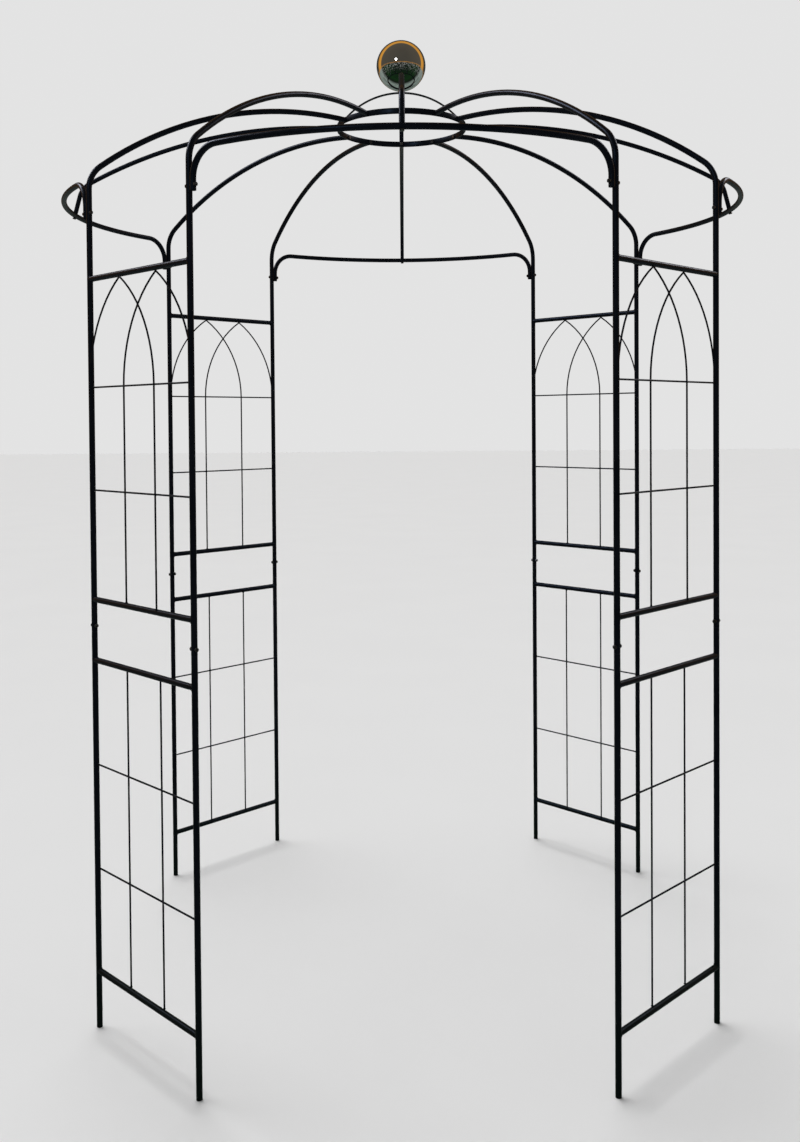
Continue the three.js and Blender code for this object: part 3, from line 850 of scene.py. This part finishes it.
def floor_paint():
    """Matt pale grey, very slightly uneven."""
    material, tree, shader = new_material("pale_floor")
    shader.inputs["Roughness"].default_value = 0.9
    shader.inputs["Specular IOR Level"].default_value = 0.1
    tone = ramp(tree, noise(tree, 1.2, 2), [(0.3, grey(0.80)), (0.7, grey(0.81))])
    tree.links.new(tone, shader.inputs["Base Color"])
    return material


MATERIALS = {
    "powder_coat": powder_coat(),
    "black_zinc": black_zinc(),
    "mirror_steel": mirror_steel(),
}

# ---------------------------------------------------------------- assembly


def piece(node, slot, shell, place=Matrix()):
    """Makes shell the piece that stands for a CAD node, with the record's finish."""
    mesh = bpy.data.meshes.new(node + "_fine")
    mesh.from_pydata([place @ point for point in shell.points], [], shell.faces)
    mesh.polygons.foreach_set("use_smooth", [True] * len(mesh.polygons))
    mesh.set_sharp_from_angle(angle=math.radians(38))
    mesh.materials.append(MATERIALS[slot])
    made = bpy.data.objects.new(node + "_fine", mesh)
    bpy.context.scene.collection.objects.link(made)
    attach(made, "root")
    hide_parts(node)
    return made


def turned(angle):
    return Matrix.Rotation(angle, 4, "Z")


def aimed(position, direction):
    """Turns +X to direction and moves the origin to position."""
    turn = RIGHT.rotation_difference(direction).to_matrix().to_4x4()
    return Matrix.Translation(position) @ turn


SIDES = (("left", -1), ("right", 1))
ENTRANCES = ("front", "right", "back", "left")
CORNERS = ("front_right", "back_right", "back_left", "front_left")

LOWER_PANEL = lower_panel()
UPPER_PANEL = upper_panel()
HEADER = header()
POST_RIB = post_rib()
MID_RIB = mid_rib()
PANEL_BOLT = bolt_with_nut(2 * TUBE_RADIUS)
HEADER_BOLT = bolt_with_nut(4 * TUBE_RADIUS + CLEARANCE)
RIB_SCREW = screw(RING_THICKNESS + SCREW_REACH)
FOOT_SCREW = screw(RING_OUTER - STRAP_INSIDE + SCREW_REACH)
MID_SCREW = screw(2 * TUBE_RADIUS + SCREW_REACH)
BALL_SCREW = screw(STRAP_THICKNESS + SCREW_REACH / 2)


def corner_pieces(corner, turn):
    place = turned(turn) @ Matrix.Translation((0, -PANEL_DISTANCE, 0))
    piece(f"lower_panel_{corner}", "powder_coat", LOWER_PANEL, place)
    piece(f"upper_panel_{corner}", "powder_coat", UPPER_PANEL, place)
    for side_name, side in SIDES:
        seat = Vector((side * (HALF_PANEL + TUBE_RADIUS), 0, PANEL_BOLT_HEIGHT))
        bolt_place = place @ aimed(seat, RIGHT * -side)
        piece(f"panel_bolt_{corner}_{side_name}", "black_zinc", PANEL_BOLT, bolt_place)


def entrance_pieces(entrance, turn):
    place = turned(turn)
    piece(f"header_{entrance}", "powder_coat", HEADER, place)
    piece(f"mid_rib_{entrance}", "powder_coat", MID_RIB, place)
    under = aimed(HEADER_MIDDLE - MID_RIB_DIRECTION * TUBE_RADIUS, MID_RIB_DIRECTION)
    piece(f"mid_rib_screw_{entrance}", "black_zinc", MID_SCREW, place @ under)
    inside = aimed(OUTWARDS * STRAP_INSIDE + UP * RING_HEIGHT, OUTWARDS)
    piece(f"ring_screw_{entrance}_middle", "black_zinc", FOOT_SCREW, place @ inside)
    for side_name, side in SIDES:
        rib_place = place @ turned(side * ENTRANCE_HALF_ANGLE)
        piece(f"rib_{entrance}_{side_name}", "powder_coat", POST_RIB, rib_place)
        inside = aimed(OUTWARDS * RING_INNER + UP * RING_HEIGHT, OUTWARDS)
        piece(f"ring_screw_{entrance}_{side_name}", "black_zinc", RIB_SCREW, rib_place @ inside)
        axis = Vector((side * ENTRANCE_HALF_WIDTH, -ENTRANCE_DISTANCE, HEADER_BOLT_HEIGHT))
        from_panel = Vector((-side, -1, 0)).normalized()
        bolt_place = place @ aimed(axis - from_panel * TUBE_RADIUS, from_panel)
        piece(f"header_bolt_{entrance}_{side_name}", "black_zinc", HEADER_BOLT, bolt_place)


# ---------------------------------------------------------------- camera, floor and light

CAMERA_PLACE = Vector((-0.0035, -3.5744, 1.6697))
CAMERA_YAW = math.radians(-0.14)
CAMERA_PITCH = math.radians(-1.2)
CAMERA_ROLL = math.radians(0.425)
CAMERA_LENS = 35.14
CAMERA_SHIFT_UP = -0.1098
SENSOR_WIDTH = 36

FLOOR_REACH = 60
SUN_STRENGTH = 2.0
SUN_SPREAD = math.radians(30)
SUN_TILT = (math.radians(-14), math.radians(-10), 0)
UNSEEN_GREY = 0.32
BACKGROUND_GREY = 0.77
RIM_LEFT_COLOUR = (0.86, 0.89, 1.0)
RIM_RIGHT_COLOUR = (0.9, 0.92, 1.0)
SKYLINE_AMBER = (0.60, 0.28, 0.07)
GLINT_GREY = (0.34, 0.34, 0.33)
HORIZON_RAGGEDNESS = 0.12


def make_camera():
    data = bpy.data.cameras.new("camera")
    data.lens = CAMERA_LENS
    data.sensor_width = SENSOR_WIDTH
    data.shift_y = CAMERA_SHIFT_UP
    camera = bpy.data.objects.new("camera", data)
    level = math.cos(CAMERA_PITCH)
    forward = Vector((math.sin(CAMERA_YAW) * level, math.cos(CAMERA_YAW) * level, math.sin(CAMERA_PITCH)))
    roll = Quaternion((0, 0, 1), -CAMERA_ROLL)
    camera.rotation_mode = "QUATERNION"
    camera.rotation_quaternion = forward.to_track_quat("-Z", "Y") @ roll
    camera.location = CAMERA_PLACE
    bpy.context.scene.collection.objects.link(camera)
    bpy.context.scene.camera = camera


def make_floor():
    signs = [(-1, -1), (1, -1), (1, 1), (-1, 1)]
    corners = [(x * FLOOR_REACH, y * FLOOR_REACH, 0) for x, y in signs]
    mesh = bpy.data.meshes.new("floor")
    mesh.from_pydata(corners, [], [(0, 1, 2, 3)])
    mesh.materials.append(floor_paint())
    floor = bpy.data.objects.new("floor", mesh)
    bpy.context.scene.collection.objects.link(floor)
    floor.visible_glossy = False


def streak_light(name, place, size, power, colour=(1, 1, 1)):
    """A square panel that faces the crown and shows only as a highlight on the metal."""
    data = bpy.data.lights.new(name, "AREA")
    data.shape = "SQUARE"
    data.size = size
    data.energy = power
    data.color = colour
    light = bpy.data.objects.new(name, data)
    light.visible_diffuse = False
    light.location = place
    light.rotation_mode = "QUATERNION"
    light.rotation_quaternion = (UP * RING_HEIGHT - light.location).to_track_quat("-Z", "Y")
    bpy.context.scene.collection.objects.link(light)
    return light


def overhead_light():
    """A wide, distant light that reaches the whole floor evenly."""
    data = bpy.data.lights.new("overhead", "SUN")
    data.energy = SUN_STRENGTH
    data.angle = SUN_SPREAD
    light = bpy.data.objects.new("overhead", data)
    light.visible_glossy = False
    light.rotation_euler = SUN_TILT
    bpy.context.scene.collection.objects.link(light)


def mirrored_surround(tree, direction):
    """What the metal mirrors: a dim garden with a low amber light across its far side."""
    split = tree.nodes.new("ShaderNodeSeparateXYZ")
    tree.links.new(direction, split.inputs["Vector"])
    depth = tree.nodes.new("ShaderNodeMapRange")
    depth.inputs["From Min"].default_value = -1
    tree.links.new(split.outputs["Y"], depth.inputs["Value"])
    sky = [
        (0.0, (0.075, 0.068, 0.055)),
        (0.62, (0.10, 0.085, 0.065)),
        (0.67, (0.76, 0.36, 0.06)),
        (0.79, (0.68, 0.30, 0.045)),
        (0.84, (0.05, 0.05, 0.045)),
        (1.0, (0.03, 0.036, 0.03)),
    ]
    ground = [
        (0.0, (0.008, 0.012, 0.009)),
        (0.42, (0.009, 0.034, 0.010)),
        (0.58, (0.010, 0.014, 0.010)),
        (0.70, (0.28, 0.33, 0.30)),
        (1.0, (0.16, 0.20, 0.18)),
    ]
    speckle = tree.nodes.new("ShaderNodeTexNoise")
    speckle.inputs["Scale"].default_value = 11
    speckle.inputs["Detail"].default_value = 6
    tree.links.new(direction, speckle.inputs["Vector"])
    near_horizon = tree.nodes.new("ShaderNodeMapRange")
    near_horizon.inputs["From Min"].default_value = -0.6
    near_horizon.inputs["From Max"].default_value = 0
    tree.links.new(split.outputs["Z"], near_horizon.inputs["Value"])
    glints = ramp(tree, speckle.outputs["Fac"], [(0.50, grey(0)), (0.58, grey(0.9))])
    amount = tree.nodes.new("ShaderNodeMath")
    amount.operation = "MULTIPLY"
    tree.links.new(near_horizon.outputs["Result"], amount.inputs[0])
    tree.links.new(glints, amount.inputs[1])
    lower = ramp(tree, depth.outputs["Result"], ground)
    speckled = mixed(tree, amount.outputs[0], lower, GLINT_GREY)
    ragged = tree.nodes.new("ShaderNodeMath")
    ragged.operation = "MULTIPLY_ADD"
    ragged.inputs[1].default_value = HORIZON_RAGGEDNESS
    tree.links.new(speckle.outputs["Fac"], ragged.inputs[0])
    tree.links.new(split.outputs["Z"], ragged.inputs[2])
    above = ramp(tree, ragged.outputs[0], [(0.05, grey(0)), (0.07, grey(1))])
    upper = ramp(tree, depth.outputs["Result"], sky)
    skyline = ramp(tree, ragged.outputs[0], [(0.07, grey(0)), (0.09, grey(0.7)), (0.16, grey(0))])
    return mixed(tree, skyline, mixed(tree, above, speckled, upper), SKYLINE_AMBER)


def make_world():
    """A pale surround for the camera, soft light from above, and the garden that the metal mirrors."""
    world = bpy.data.worlds.new("studio")
    bpy.context.scene.world = world
    world.use_nodes = True
    tree = world.node_tree
    background = tree.nodes["Background"]
    place = tree.nodes.new("ShaderNodeTexCoord")
    path = tree.nodes.new("ShaderNodeLightPath")
    mirrored = mirrored_surround(tree, place.outputs["Generated"])
    unseen = mixed(tree, path.outputs["Is Glossy Ray"], grey(UNSEEN_GREY), mirrored)
    colour = mixed(tree, path.outputs["Is Camera Ray"], unseen, grey(BACKGROUND_GREY))
    tree.links.new(colour, background.inputs["Color"])


bpy.context.scene.view_settings.view_transform = "Standard"
make_camera()
make_floor()
make_world()
overhead_light()
streak_light("key", Vector((-2.3, -5.4, 4.3)), 0.7, 60)
rim_left = streak_light("rim_left", Vector((-5.0, 1.0, 6.5)), 2.6, 420, RIM_LEFT_COLOUR)
rim_right = streak_light("rim_right", Vector((5.0, 2.5, 6.0)), 2.2, 160, RIM_RIGHT_COLOUR)

for quarter in range(4):
    quarter_turn = quarter * math.pi / 2
    entrance_pieces(ENTRANCES[quarter], quarter_turn)
    corner_pieces(CORNERS[quarter], quarter_turn + math.pi / 4)
piece("crown_ring", "powder_coat", crown_ring())
piece("finial_stand", "powder_coat", finial_stand())
ball = piece("gazing_ball", "mirror_steel", gazing_ball())
piece("ball_screw", "black_zinc", BALL_SCREW, aimed(UP * (ARCH_TOP - STRAP_THICKNESS), UP))

unlit = bpy.data.collections.new("no_rim_lights")
unlit.objects.link(ball)
unlit.collection_objects[0].light_linking.link_state = "EXCLUDE"
for light in (rim_left, rim_right):
    light.light_linking.receiver_collection = unlit
